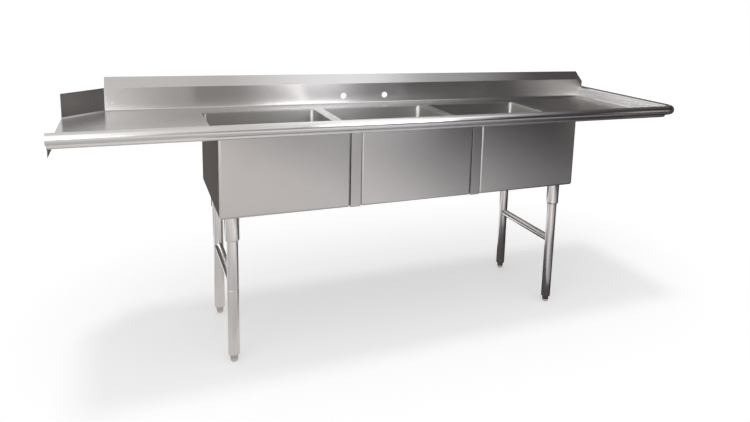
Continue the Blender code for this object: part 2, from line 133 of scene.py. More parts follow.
# Distances within which points merge, and the most of a side that a rounded corner takes up
WELD_GAP = 0.001 * MM
BASKET_WELD_GAP = 0.005 * MM
FILLET_SHARE = 0.45

# Facets of the finished pieces
TURN_STEPS = 64
ROLL_STEPS = 48
RIM_RUNS = 12
RIM_TURN_STEPS = 24
CORNER_STEPS = 8
FILLET_STEPS = 4
THREAD_FACETS = 6
SCREW_STEPS = 24
EASE_STEPS = 3
# Degrees left free at both ends of each quarter of a drain ring
RING_GAP = 12

# Places read from the frame
deck_low, deck_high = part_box("bowl_deck")
front_low, front_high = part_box("front_rim")
end_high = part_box("end_rim")[1]
DECK_TOP = deck_high.z
SHEET = deck_high.z - deck_low.z
CREST = front_high.z
LEFT_END = front_low.x
RIM_WALL = front_low.y + 2 * ROLL
END_WALL = end_high.x - 2 * ROLL
SPLASH_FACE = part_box("backsplash")[0].y + COVE
BOWLS = ("left", "middle", "right")
CORNERS = ("front_left", "front_right", "rear_left", "rear_right")
SINK = "sink"


def linear(hex_colour):
    """An sRGB hex colour as linear red, green, blue and alpha."""
    channels = [int(hex_colour[i : i + 2], 16) / 255 for i in (1, 3, 5)]
    return (*[c / 12.92 if c <= 0.04045 else ((c + 0.055) / 1.055) ** 2.4 for c in channels], 1.0)


def add_node(tree, kind, inputs=None, **settings):
    """Adds a node, sets its properties, and gives its inputs values or other nodes' outputs."""
    node = tree.nodes.new(kind)
    for name, value in settings.items():
        setattr(node, name, value)
    for name, value in (inputs or {}).items():
        if isinstance(value, bpy.types.NodeSocket):
            tree.links.new(value, node.inputs[name])
        else:
            node.inputs[name].default_value = value
    return node


def new_material(name):
    """A material with its node tree and its main shader."""
    material = bpy.data.materials.new(name)
    material.use_nodes = True
    tree = material.node_tree
    return material, tree, tree.nodes["Principled BSDF"]


def bare_material(name):
    """A material with an empty node tree."""
    material, tree, _ = new_material(name)
    tree.nodes.clear()
    return material, tree


def stainless(name, pale, deep, roughness, lines_mm, depth_mm, along="wall", anisotropy=0.0):
    """Stainless steel with abrasive lines: along X on level faces, elsewhere level or, on tubes, upright."""
    material, tree, shader = new_material(name)
    pitch, stroke = 1 / (lines_mm * MM), 1 / (STROKE_MM * MM)
    place = add_node(tree, "ShaderNodeTexCoord").outputs["Object"]
    normal = add_node(tree, "ShaderNodeNewGeometry").outputs["Normal"]
    scales = {"wall": (stroke, stroke, pitch), "tube": (pitch, pitch, stroke)}
    wall_map = add_node(tree, "ShaderNodeMapping", {"Vector": place, "Scale": scales[along]})
    wall = add_node(tree, "ShaderNodeTexNoise", {"Vector": wall_map.outputs[0], "Scale": 1.0, "Detail": 3.0})
    deck_map = add_node(tree, "ShaderNodeMapping", {"Vector": place, "Scale": (stroke, pitch, stroke)})
    deck = add_node(tree, "ShaderNodeTexNoise", {"Vector": deck_map.outputs[0], "Scale": 1.0, "Detail": 3.0})
    parts = add_node(tree, "ShaderNodeSeparateXYZ", {"Vector": normal})
    level = add_node(tree, "ShaderNodeMath", {0: parts.outputs["Z"]}, operation="ABSOLUTE")
    lines = add_node(
        tree,
        "ShaderNodeMix",
        {"Factor": level.outputs[0], "A": wall.outputs["Fac"], "B": deck.outputs["Fac"]},
    )
    smudge = add_node(
        tree, "ShaderNodeTexNoise", {"Vector": place, "Scale": 1 / (SMUDGE_MM * MM), "Detail": 4.0}
    )
    tone = add_node(
        tree, "ShaderNodeMath", {0: smudge.outputs["Fac"], 1: lines.outputs[0]}, operation="MULTIPLY"
    )
    ramp = add_node(tree, "ShaderNodeValToRGB", {"Fac": tone.outputs[0]})
    for stop, place_on_ramp, colour in zip(ramp.color_ramp.elements, TONE_RANGE, (deep, pale)):
        stop.position = place_on_ramp
        stop.color = linear(colour)
    matt = add_node(
        tree,
        "ShaderNodeMapRange",
        {
            "Value": tone.outputs[0],
            "From Min": TONE_RANGE[0],
            "From Max": TONE_RANGE[1],
            "To Min": roughness * DULL_SHARE,
            "To Max": roughness,
        },
    )
    bump = add_node(
        tree, "ShaderNodeBump", {"Strength": 1.0, "Distance": depth_mm * MM, "Height": lines.outputs[0]}
    )
    links = tree.links
    links.new(ramp.outputs["Color"], shader.inputs["Base Color"])
    links.new(matt.outputs["Result"], shader.inputs["Roughness"])
    links.new(bump.outputs["Normal"], shader.inputs["Normal"])
    shader.inputs["Metallic"].default_value = 1.0
    shader.inputs["Anisotropic"].default_value = anisotropy
    if anisotropy:
        upright = add_node(tree, "ShaderNodeCombineXYZ", {"X": 0.0, "Y": UPRIGHT_LEAN, "Z": 1.0})
        along_lines = add_node(
            tree, "ShaderNodeVectorMath", {0: upright.outputs[0], 1: normal}, operation="CROSS_PRODUCT"
        )
        across_lines = add_node(
            tree, "ShaderNodeVectorMath", {0: normal, 1: along_lines.outputs[0]}, operation="CROSS_PRODUCT"
        )
        links.new(across_lines.outputs[0], shader.inputs["Tangent"])
    return material


# Cold-rolled sheet with a number 4 brushed finish: long level lines that draw every highlight out
# upright and keep it narrow sideways. The real lines are about 0.3 mm apart, and are drawn 1.2 mm
# apart so that they show.
brushed_sheet = stainless(
    "brushed_stainless_sheet",
    pale="#cbc9c8",
    deep="#c8c6c5",
    roughness=0.26,
    lines_mm=1.2,
    depth_mm=0.0004,
    anisotropy=0.75,
)
# The insides of the bowls are rubbed out by hand after welding, so they are duller; their greyer colour is
# painted shade, for the shade deep inside the bowls
shade_greyed_bowl_lining = stainless(
    "stainless_bowl_lining_painted_shade",
    pale="#bab8b6",
    deep="#b2b0ae",
    roughness=0.32,
    lines_mm=1.6,
    depth_mm=0.001,
    anisotropy=0.75,
)
# The roll is buffed after bending, so it mirrors the room with only faint lines
buffed_rim = stainless(
    "buffed_stainless_rim",
    pale="#dbdad9",
    deep="#d7d6d5",
    roughness=0.20,
    lines_mm=3.0,
    depth_mm=0.0002,
    anisotropy=0.6,
)
# Welded tube, polished along its length: bright, with soft upright streaks
polished_tube = stainless(
    "polished_stainless_tube",
    pale="#e6e4e3",
    deep="#dfdddb",
    roughness=0.20,
    lines_mm=2.0,
    depth_mm=0.0005,
    along="tube",
)
# Drawn drain fittings, bright and smooth
bright_drain = stainless(
    "bright_drawn_stainless",
    pale="#dcdad8",
    deep="#d4d2d0",
    roughness=0.12,
    lines_mm=4.0,
    depth_mm=0.0003,
    along="tube",
)
# Turned feet and screws, duller than the tube
turned_steel = stainless(
    "turned_stainless",
    pale="#c4c2bf",
    deep="#b6b4b1",
    roughness=0.26,
    lines_mm=1.0,
    depth_mm=0.001,
)


def weld_metal():
    """Stainless weld bead: dull ripples with a grey and straw heat tint."""
    material, tree, shader = new_material("stainless_weld_bead")
    place = add_node(tree, "ShaderNodeTexCoord").outputs["Object"]
    tint = add_node(tree, "ShaderNodeTexNoise", {"Vector": place, "Scale": 1 / (TINT_MM * MM), "Detail": 2.0})
    ramp = add_node(tree, "ShaderNodeValToRGB", {"Fac": tint.outputs["Fac"]})
    ramp.color_ramp.elements[0].color = linear("#8f8a83")
    ramp.color_ramp.elements[1].color = linear("#c2bcb0")
    tree.links.new(ramp.outputs["Color"], shader.inputs["Base Color"])
    shader.inputs["Metallic"].default_value = 1.0
    shader.inputs["Roughness"].default_value = 0.38
    return material


def rubber():
    """Moulded black rubber: matt, with a fine skin that breaks up its highlights."""
    material, tree, shader = new_material("moulded_black_rubber")
    place = add_node(tree, "ShaderNodeTexCoord").outputs["Object"]
    grain = add_node(
        tree, "ShaderNodeTexNoise", {"Vector": place, "Scale": 1 / (RUBBER_GRAIN_MM * MM), "Detail": 3.0}
    )
    ramp = add_node(tree, "ShaderNodeValToRGB", {"Fac": grain.outputs["Fac"]})
    ramp.color_ramp.elements[0].color = linear("#1b1b1b")
    ramp.color_ramp.elements[1].color = linear("#2c2b2a")
    bump = add_node(
        tree,
        "ShaderNodeBump",
        {"Strength": 0.4, "Distance": RUBBER_GRAIN_DEPTH_MM * MM, "Height": grain.outputs["Fac"]},
    )
    tree.links.new(ramp.outputs["Color"], shader.inputs["Base Color"])
    tree.links.new(bump.outputs["Normal"], shader.inputs["Normal"])
    shader.inputs["Roughness"].default_value = 0.72
    return material


weld_bead = weld_metal()
black_rubber = rubber()


def arc(centre, radius, start, stop, steps):
    """Points on an arc in a plane. Angles are in degrees."""
    turns = [math.radians(start + (stop - start) * i / steps) for i in range(steps + 1)]
    return [(centre[0] + radius * math.cos(a), centre[1] + radius * math.sin(a)) for a in turns]


def filleted(points, radius, closed=True):
    """A flat outline with each corner rounded by this radius, or less on a short side."""
    points = [Vector(p) for p in points]
    count = len(points)
    outline = []
    for i, point in enumerate(points):
        if not closed and i in (0, count - 1):
            outline.append(point)
            continue
        before, after = points[i - 1] - point, points[(i + 1) % count] - point
        reach = min(radius, FILLET_SHARE * before.length, FILLET_SHARE * after.length)
        start, stop = point + before.normalized() * reach, point + after.normalized() * reach
        for step in range(FILLET_STEPS + 1):
            t = step / FILLET_STEPS
            outline.append(start * (1 - t) ** 2 + point * (2 * t * (1 - t)) + stop * t**2)
    return [(p.x, p.y) for p in outline]


def skin(rows, wrap_rows=False, wrap_points=False):
    """A bmesh over rows of points. A point that is None leaves a gap."""
    shape = bmesh.new()
    grid = [[shape.verts.new(p) if p is not None else None for p in row] for row in rows]
    row_pairs = len(grid) if wrap_rows else len(grid) - 1
    point_pairs = len(grid[0]) if wrap_points else len(grid[0]) - 1
    for i in range(row_pairs):
        here, there = grid[i], grid[(i + 1) % len(grid)]
        for j in range(point_pairs):
            k = (j + 1) % len(here)
            corners = (here[j], here[k], there[k], there[j])
            if None not in corners:
                shape.faces.new(corners)
    return shape


def close_up(shape):
    """Merges the doubles of a closed shape and turns its faces outwards."""
    bmesh.ops.remove_doubles(shape, verts=shape.verts, dist=WELD_GAP)
    bmesh.ops.dissolve_degenerate(shape, edges=shape.edges, dist=WELD_GAP)
    bmesh.ops.recalc_face_normals(shape, faces=shape.faces)
    return shape


def piece(name, shape, material, replaced=(), body=SINK, crease=35, lining=None):
    """Turns a bmesh into a finished piece that rides on a body. Open edges stay sharp."""
    mesh = bpy.data.meshes.new(name)
    shape.to_mesh(mesh)
    shape.free()
    mesh.materials.append(material)
    if lining:
        mesh.materials.append(lining)
    mesh.shade_smooth()
    mesh.set_sharp_from_angle(angle=math.radians(crease))
    sides = [0] * len(mesh.edges)
    for loop in mesh.loops:
        sides[loop.edge_index] += 1
    for edge, count in zip(mesh.edges, sides):
        edge.use_edge_sharp = edge.use_edge_sharp or count == 1
    made = bpy.data.objects.new(name, mesh)
    bpy.context.scene.collection.objects.link(made)
    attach(made, body)
    if replaced:
        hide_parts(*replaced)
    return made


def thicken(made, thickness, offset=-1):
    """Gives a skin its thickness, behind its faces or, with offset 0, to both sides."""
    wall = made.modifiers.new("sheet_thickness", "SOLIDIFY")
    wall.thickness = thickness
    wall.offset = offset
    wall.use_quality_normals = True


def turned(centre, profile, steps=TURN_STEPS):
    """A closed profile of (radius, height) points turned about an upright axis."""
    rows = []
    for i in range(steps):
        a = 2 * math.pi * i / steps
        rows.append([(centre[0] + r * math.cos(a), centre[1] + r * math.sin(a), z) for r, z in profile])
    return close_up(skin(rows, wrap_rows=True, wrap_points=True))


def softened(name, node, material):
    """A copy of a CAD sheet with eased edges and rounded 45 degree bends."""
    shape = bmesh.new()
    shape.from_mesh(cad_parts[node].data)
    bmesh.ops.remove_doubles(shape, verts=shape.verts, dist=WELD_GAP)
    bmesh.ops.dissolve_limit(
        shape,
        angle_limit=math.radians(SAME_PLANE),
        verts=shape.verts,
        edges=shape.edges,
        use_dissolve_boundaries=False,
    )
    weights = shape.edges.layers.float.new("bevel_weight_edge")
    for side in shape.edges:
        if len(side.link_faces) != 2:
            continue
        angle = math.degrees(side.calc_face_angle())
        if angle > CUT_EDGE:
            side[weights] = EDGE_SOFT / BEND_SPREAD
        elif angle > BEND_EDGE:
            side[weights] = 1.0
    made = piece(name, shape, material, [node], crease=50)
    ease = made.modifiers.new("eased_edges", "BEVEL")
    ease.limit_method = "WEIGHT"
    ease.width = BEND_SPREAD
    ease.segments = EASE_STEPS
    ease.harden_normals = True


def box_middle(node):
    """The middle of a CAD node's box."""
    low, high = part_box(node)
    return (low + high) / 2


def rim_section():
    """Points (outward, height) over the visible side of the rim: cove, wall, roll and lip."""
    cove = arc((-COVE, DECK_TOP + COVE), COVE, -90, 0, CORNER_STEPS)
    roll = arc((ROLL, CREST - ROLL), ROLL, 180, ROLL_LIP_ANGLE, ROLL_STEPS)
    return cove + roll


def rolled_rim():
    """The front roll, its turned corner and the end roll, welded and buffed into one run."""
    section = rim_section()
    corner_x, corner_y = END_WALL - RIM_TURN, RIM_WALL + RIM_TURN
    runs = [LEFT_END + (corner_x - LEFT_END) * i / RIM_RUNS for i in range(RIM_RUNS + 1)]
    rows = [[(x, RIM_WALL - n, z) for n, z in section] for x in runs]
    for i in range(1, RIM_TURN_STEPS):
        a = math.radians(-90 + 90 * i / RIM_TURN_STEPS)
        rows.append(
            [
                (corner_x + (RIM_TURN + n) * math.cos(a), corner_y + (RIM_TURN + n) * math.sin(a), z)
                for n, z in section
            ]
        )
    rows.append([(END_WALL + n, corner_y, z) for n, z in section])
    rows.append([(END_WALL + n, SPLASH_FACE - SEAM + min(n, 0.0), z) for n, z in section])
    rows.append([(END_WALL + n, end_high.y, z) if n > -SEAM else None for n, z in section])
    made = piece(
        "rolled_rim", skin(rows), buffed_rim, ["front_rim", "corner_rim", "end_rim"], crease=60
    )
    thicken(made, SHEET)


def bowl_ring(middle, half_x, half_y, radius, z):
    """A level rounded rectangle, counter-clockwise from the rear end of its right side."""
    points = []
    for quarter, (side_x, side_y) in enumerate(((1, 1), (-1, 1), (-1, -1), (1, -1))):
        centre = (middle.x + side_x * (half_x - radius), middle.y + side_y * (half_y - radius))
        start = 90 * quarter
        points += [(x, y, z) for x, y in arc(centre, radius, start, start + 90, CORNER_STEPS)]
    return points


def drain_ring(middle, radius, z):
    """A circle with as many points as a bowl ring, spread so that each side keeps a flat panel."""
    points = []
    for quarter in range(4):
        start, stop = 90 * quarter + RING_GAP, 90 * (quarter + 1) - RING_GAP
        points += [(x, y, z) for x, y in arc((middle.x, middle.y), radius, start, stop, CORNER_STEPS)]
    return points


def bowl(side):
    """A deep bowl with coved corners. Its floor falls to the drain, and its underside stays level."""
    node = f"{side}_bowl"
    low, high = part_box(node)
    middle = (low + high) / 2
    half_x, half_y = (high.x - low.x) / 2, (high.y - low.y) / 2
    rings = [bowl_ring(middle, half_x, half_y, BOWL_CORNER, high.z)]
    for r, z in arc((0, low.z + BOWL_CORNER), BOWL_CORNER, 0, -90, CORNER_STEPS):
        inset = BOWL_CORNER - r
        rings.append(bowl_ring(middle, half_x - inset, half_y - inset, max(r, TIGHTEST_CORNER), z))
    rings.append(drain_ring(middle, DRAIN_HOLE, low.z))
    inside = len(rings)
    rings.append(drain_ring(middle, DRAIN_HOLE, low.z + SHEET))
    rings.append(drain_ring(middle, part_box(f"{side}_drain_body")[1].x - middle.x, low.z + SHEET))
    floor = low.z + SHEET + FLOOR_FALL
    for r, z in arc((0, floor + BOWL_COVE), BOWL_COVE, -90, 0, CORNER_STEPS):
        inset = SHEET + BOWL_COVE - r
        rings.append(bowl_ring(middle, half_x - inset, half_y - inset, max(r, TIGHTEST_CORNER), z))
    for radius, drop in ((BOWL_COVE, BOWL_FLARE), (BOWL_CORNER - SHEET, 0.0)):
        rings.append(bowl_ring(middle, half_x - SHEET, half_y - SHEET, radius, high.z - drop))
    shape = skin(rings, wrap_rows=True, wrap_points=True)
    # The inside faces take the bowl lining, whose greyer colour is painted shade
    for i, face in enumerate(shape.faces):
        face.material_index = int(inside <= i // len(rings[0]) < len(rings) - 1)
    piece(
        node + "_formed", close_up(shape), brushed_sheet, [node], crease=40, lining=shade_greyed_bowl_lining
    )


def leg_parts(corner):
    """Socket, tube and threaded insert of one leg."""
    middle = box_middle(f"{corner}_leg")
    low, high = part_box(f"{corner}_leg")
    outer = (high.x - low.x) / 2
    tube = [(outer, high.z), (outer, low.z), (outer - TUBE_WALL, low.z), (outer - TUBE_WALL, high.z)]
    if corner == "front_left":
        ring_z = low.z + LEG_SEAM_RISE
        groove = [(outer - LEG_SEAM, ring_z + LEG_SEAM), (outer - LEG_SEAM, ring_z)]
        tube[1:1] = [(outer, ring_z + 2 * LEG_SEAM), *groove, (outer, ring_z - LEG_SEAM)]
    shape = turned(middle, filleted(tube, TUBE_EDGE))
    piece(f"{corner}_leg_tube", shape, polished_tube, [f"{corner}_leg"])
    low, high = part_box(f"{corner}_leg_socket")
    sleeve = (high.x - low.x) / 2
    bore = outer + SOCKET_CLEARANCE
    socket = [
        (0.0, high.z),
        (sleeve, high.z),
        (sleeve, low.z + SOCKET_TAPER),
        (bore + (sleeve - bore) / 2, low.z),
        (bore, low.z),
        (bore, high.z - SOCKET_CAP),
        (0.0, high.z - SOCKET_CAP),
    ]
    shape = turned(middle, filleted(socket, SOCKET_EDGE))
    piece(f"{corner}_leg_socket_sleeve", shape, polished_tube, [f"{corner}_leg_socket"])
    low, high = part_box(f"{corner}_foot_insert")
    plug = outer - TUBE_WALL - SEAM
    insert = [
        (plug, high.z),
        (plug, low.z + INSERT_LIP),
        (outer, low.z + INSERT_LIP),
        (INSERT_END, low.z),
        (INSERT_BORE, low.z),
        (INSERT_BORE, high.z),
    ]
    shape = turned(middle, filleted(insert, INSERT_EDGE))
    piece(f"{corner}_foot_insert_plug", shape, turned_steel, [f"{corner}_foot_insert"])


def foot(corner):
    """A bullet foot: a rounded nose, a wrench shoulder and a screw stem with a real helix."""
    node = f"{corner}_foot"
    low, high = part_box(node)
    middle = (low + high) / 2
    shoulder = (high.x - low.x) / 2
    root = THREAD_RADIUS - THREAD_DEPTH
    neck = low.z + FOOT_NECK
    sides = [(r * shoulder, low.z + rise) for r, rise in FOOT_NOSE]
    nose = filleted([(0.0, low.z), *sides, (shoulder, neck), (root, neck)], FOOT_EDGE, closed=False)
    rows = []
    steps = int((high.z - neck) / THREAD_PITCH * THREAD_FACETS)
    heights = [neck + (high.z - neck) * i / steps for i in range(steps + 1)]
    for i in range(TURN_STEPS // 2):
        share = i / (TURN_STEPS // 2)
        a = 2 * math.pi * share
        row = list(nose)
        for z in heights[1:-1]:
            tooth = abs(2 * ((z / THREAD_PITCH - share) % 1.0) - 1.0)
            row.append((THREAD_RADIUS - THREAD_DEPTH * tooth, z))
        row += [(root, high.z), (0.0, high.z)]
        rows.append([(middle.x + r * math.cos(a), middle.y + r * math.sin(a), z) for r, z in row])
    shape = close_up(skin(rows, wrap_rows=True))
    piece(f"{node}_bullet", shape, turned_steel, [node], body=node, crease=50)


def side_rail(side):
    """A tube from leg to leg, with ends shaped round the legs."""
    node = f"{side}_side_rail"
    low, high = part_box(node)
    middle = (low + high) / 2
    radius = (high.x - low.x) / 2
    leg_low, leg_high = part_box(f"front_{side}_leg")
    leg = (leg_high.x - leg_low.x) / 2 + SEAM
    front_y = box_middle(f"front_{side}_leg").y
    rear_y = box_middle(f"rear_{side}_leg").y
    bore = radius - TUBE_WALL
    rows = []
    for i in range(TURN_STEPS):
        a = 2 * math.pi * i / TURN_STEPS
        row = []
        for r, rear in ((radius, False), (radius, True), (bore, True), (bore, False)):
            across = r * math.cos(a)
            bite = math.sqrt(leg**2 - across**2)
            y = rear_y - bite if rear else front_y + bite
            row.append((middle.x + across, y, middle.z + r * math.sin(a)))
        rows.append(row)
    shape = close_up(skin(rows, wrap_rows=True, wrap_points=True))
    piece(f"{side}_side_rail_tube", shape, polished_tube, [node])


def drain(side):
    """Strainer body, gasket and lock nut of one drain."""
    low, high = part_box(f"{side}_drain_body")
    middle = (low + high) / 2
    flange = (high.x - low.x) / 2
    cup_low = low.z + DRAIN_TAIL_LENGTH
    flange_low = high.z - DRAIN_FLANGE
    inside = DRAIN_CUP - DRAIN_WALL
    body = [
        (inside, high.z),
        (flange, high.z),
        (flange, flange_low),
        (DRAIN_CUP, flange_low),
        (DRAIN_CUP, cup_low),
        (DRAIN_TAIL, cup_low),
        (DRAIN_TAIL, low.z),
        (DRAIN_TAIL - DRAIN_WALL, low.z),
        (DRAIN_TAIL - DRAIN_WALL, cup_low + DRAIN_WALL),
        (inside, cup_low + DRAIN_WALL),
    ]
    shape = turned(middle, filleted(body, DRAIN_EDGE))
    piece(f"{side}_drain_cup", shape, bright_drain, [f"{side}_drain_body"])
    for part, material, slot, name in (
        ("drain_gasket", black_rubber, "gasket_rubber", "drain_washer"),
        ("drain_nut", turned_steel, "drain_steel", "drain_lock_ring"),
    ):
        low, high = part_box(f"{side}_{part}")
        outer = (high.x - low.x) / 2
        hold = DRAIN_CUP + RING_CLEARANCE
        ring = [(outer, high.z), (outer, low.z), (hold, low.z), (hold, high.z)]
        shape = turned(middle, filleted(ring, RING_EDGE))
        piece(f"{side}_{name}", shape, material, [f"{side}_{part}"])


def basket(side):
    """A strainer basket pressed from perforated sheet, with a turned lifting knob."""
    node = f"{side}_basket"
    low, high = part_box(node)
    middle = (low + high) / 2
    lip = (high.x - low.x) / 2
    outer = lip - BASKET_LIP
    floor, top = low.z, high.z
    # Radius and height of each ring, and whether holes lie between it and the next
    stations = [
        (3.0 * MM, floor, False),
        (9.0 * MM, floor, True),
        (16.0 * MM, floor, True),
        (23.5 * MM, floor, True),
        (31.0 * MM, floor, False),
        (outer - 6.0 * MM, floor + 0.6 * MM, False),
        (outer - 1.6 * MM, floor + 4.5 * MM, False),
        (outer, floor + 9.0 * MM, True),
        (outer, floor + 17.5 * MM, True),
        (outer, floor + 26.0 * MM, False),
        (outer + 0.8 * MM, top - 0.9 * MM, False),
        (lip, top - 0.6 * MM, False),
    ]

    def point(r, z, column):
        a = 2 * math.pi * column / BASKET_COLUMNS
        return Vector((middle.x + r * math.cos(a), middle.y + r * math.sin(a), z))

    shape = bmesh.new()
    for (r0, z0, holed), (r1, z1, _) in zip(stations, stations[1:]):
        mid_r, mid_z = (r0 + r1) / 2, (z0 + z1) / 2
        for c in range(BASKET_COLUMNS):
            edge = [
                point(r0, z0, c),
                point(mid_r, mid_z, c),
                point(r1, z1, c),
                point(r1, z1, c + 0.5),
                point(r1, z1, c + 1),
                point(mid_r, mid_z, c + 1),
                point(r0, z0, c + 1),
                point(r0, z0, c + 0.5),
            ]
            corners = [shape.verts.new(p) for p in edge]
            if not holed:
                shape.faces.new(corners)
                continue
            heart = point(mid_r, mid_z, c + 0.5)
            up = point(r1, z1, c + 0.5) - heart
            across = point(mid_r, mid_z, c + 1) - heart
            size = HOLE_SHARE * min(up.length, across.length)
            up, across = up.normalized() * size, across.normalized() * size
            turns = [math.radians(225 - 360 / HOLE_SIDES * k) for k in range(HOLE_SIDES)]
            hole = [shape.verts.new(heart + across * math.cos(t) + up * math.sin(t)) for t in turns]
            for k in range(HOLE_SIDES):
                n = (k + 1) % HOLE_SIDES
                shape.faces.new((corners[k], corners[n], hole[n], hole[k]))
    bmesh.ops.remove_doubles(shape, verts=shape.verts, dist=BASKET_WELD_GAP)
    bmesh.ops.recalc_face_normals(shape, faces=shape.faces)
    made = piece(f"{node}_strainer", shape, bright_drain, [node], body=node, crease=40)
    thicken(made, BASKET_SHEET, offset=0)
    knob = [(r * MM, floor + KNOB_RISE + rise * MM) for r, rise in KNOB_PROFILE]
    shape = turned(middle, filleted(knob, KNOB_EDGE), TURN_STEPS // 2)
    piece(f"{node}_knob", shape, bright_drain, body=node)


def set_screw(corner):
    """A headless screw with a hexagon socket in its outer end."""
    node = f"{corner}_set_screw"
    low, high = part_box(node)
    middle = (low + high) / 2
    radius = (high.x - low.x) / 2
    outward = -1 if middle.y < box_middle(f"{corner}_leg").y else 1
    outer_end, inner_end = (high.y, low.y) if outward > 0 else (low.y, high.y)
    rows = []
    for r, share, six_sided in SCREW_PROFILE:
        row = []
        y = outer_end + (inner_end - outer_end) * share
        for i in range(SCREW_STEPS):
            a = 2 * math.pi * i / SCREW_STEPS
            flat = math.cos(math.pi / 6) / math.cos((a % (math.pi / 3)) - math.pi / 6) if six_sided else 1
            reach = radius * r * flat
            row.append((middle.x + reach * math.cos(a), y, middle.z + reach * math.sin(a)))
        rows.append(row)
    shape = close_up(skin(rows, wrap_points=True))
    piece(f"{node}_headless", shape, turned_steel, [node], crease=30)


def bead_tree():
    """A node tree that lays overlapping weld ripples along a path."""
    tree = bpy.data.node_groups.new("weld_ripples", "GeometryNodeTree")
    sockets = tree.interface
    sockets.new_socket("Geometry", in_out="INPUT", socket_type="NodeSocketGeometry")
    sockets.new_socket("Ripple Spacing", in_out="INPUT", socket_type="NodeSocketFloat")
    sockets.new_socket("Bead Radius", in_out="INPUT", socket_type="NodeSocketFloat")
    sockets.new_socket("Bead Metal", in_out="INPUT", socket_type="NodeSocketMaterial")
    sockets.new_socket("Geometry", in_out="OUTPUT", socket_type="NodeSocketGeometry")
    given = add_node(tree, "NodeGroupInput").outputs
    line = add_node(tree, "GeometryNodeMeshToCurve", {"Mesh": given["Geometry"]})
    spread = add_node(
        tree,
        "GeometryNodeResampleCurve",
        {"Curve": line.outputs[0], "Length": given["Ripple Spacing"]},
        mode="LENGTH",
    )
    drop = add_node(tree, "GeometryNodeMeshIcoSphere", {"Radius": given["Bead Radius"], "Subdivisions": 2})
    drops = add_node(
        tree, "GeometryNodeInstanceOnPoints", {"Points": spread.outputs[0], "Instance": drop.outputs["Mesh"]}
    )
    real = add_node(tree, "GeometryNodeRealizeInstances", {"Geometry": drops.outputs[0]})
    coated = add_node(
        tree, "GeometryNodeSetMaterial", {"Geometry": real.outputs[0], "Material": given["Bead Metal"]}
    )
    add_node(tree, "NodeGroupOutput", {"Geometry": coated.outputs[0]})
    return tree


def lug_tree():
    """A node tree that sets blocks round a ring, each turned to face outwards."""
    tree = bpy.data.node_groups.new("lock_ring_lugs", "GeometryNodeTree")
    sockets = tree.interface
    sockets.new_socket("Geometry", in_out="INPUT", socket_type="NodeSocketGeometry")
    sockets.new_socket("Lug Count", in_out="INPUT", socket_type="NodeSocketInt")
    sockets.new_socket("Ring Radius", in_out="INPUT", socket_type="NodeSocketFloat")
    sockets.new_socket("Lug Size", in_out="INPUT", socket_type="NodeSocketVector")
    sockets.new_socket("Ring Middle", in_out="INPUT", socket_type="NodeSocketVector")
    sockets.new_socket("Lug Metal", in_out="INPUT", socket_type="NodeSocketMaterial")
    sockets.new_socket("Geometry", in_out="OUTPUT", socket_type="NodeSocketGeometry")
    given = add_node(tree, "NodeGroupInput").outputs
    ring = add_node(
        tree, "GeometryNodeMeshCircle", {"Vertices": given["Lug Count"], "Radius": given["Ring Radius"]}
    )
    place = add_node(tree, "GeometryNodeInputPosition")
    facing = add_node(tree, "FunctionNodeAlignRotationToVector", {"Vector": place.outputs[0]}, axis="X")
    block = add_node(tree, "GeometryNodeMeshCube", {"Size": given["Lug Size"]})
    lugs = add_node(
        tree,
        "GeometryNodeInstanceOnPoints",
        {"Points": ring.outputs["Mesh"], "Instance": block.outputs["Mesh"], "Rotation": facing.outputs[0]},
    )
    real = add_node(tree, "GeometryNodeRealizeInstances", {"Geometry": lugs.outputs[0]})
    moved = add_node(
        tree, "GeometryNodeTransform", {"Geometry": real.outputs[0], "Translation": given["Ring Middle"]}
    )
    coated = add_node(
        tree, "GeometryNodeSetMaterial", {"Geometry": moved.outputs[0], "Material": given["Lug Metal"]}
    )
    add_node(tree, "NodeGroupOutput", {"Geometry": coated.outputs[0]})
    return tree


def grown(name, tree, inputs, start, body=SINK, crease=50):
    """Runs a node tree on a starting mesh and keeps the result as a plain mesh piece."""
    source = bpy.data.objects.new(name + "_path", start)
    bpy.context.scene.collection.objects.link(source)
    grow = source.modifiers.new("grow", "NODES")
    grow.node_group = tree
    for item in tree.interface.items_tree:
        if item.in_out == "INPUT" and item.name in inputs:
            grow[item.identifier] = inputs[item.name]
    source.update_tag()
    graph = bpy.context.evaluated_depsgraph_get()
    mesh = bpy.data.meshes.new_from_object(source.evaluated_get(graph))
    bpy.data.objects.remove(source)
    mesh.name = name
    mesh.shade_smooth()
    mesh.set_sharp_from_angle(angle=math.radians(crease))
    made = bpy.data.objects.new(name, mesh)
    bpy.context.scene.collection.objects.link(made)
    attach(made, body)


def loop_mesh(name, loops):
    """Closed loops of points as a mesh of edges."""
    mesh = bpy.data.meshes.new(name)
    points = [p for loop in loops for p in loop]
    edges = []
    start = 0
    for loop in loops:
        count = len(loop)
        edges += [(start + i, start + (i + 1) % count) for i in range(count)]
        start += count
    mesh.from_pydata(points, edges, [])
    return mesh


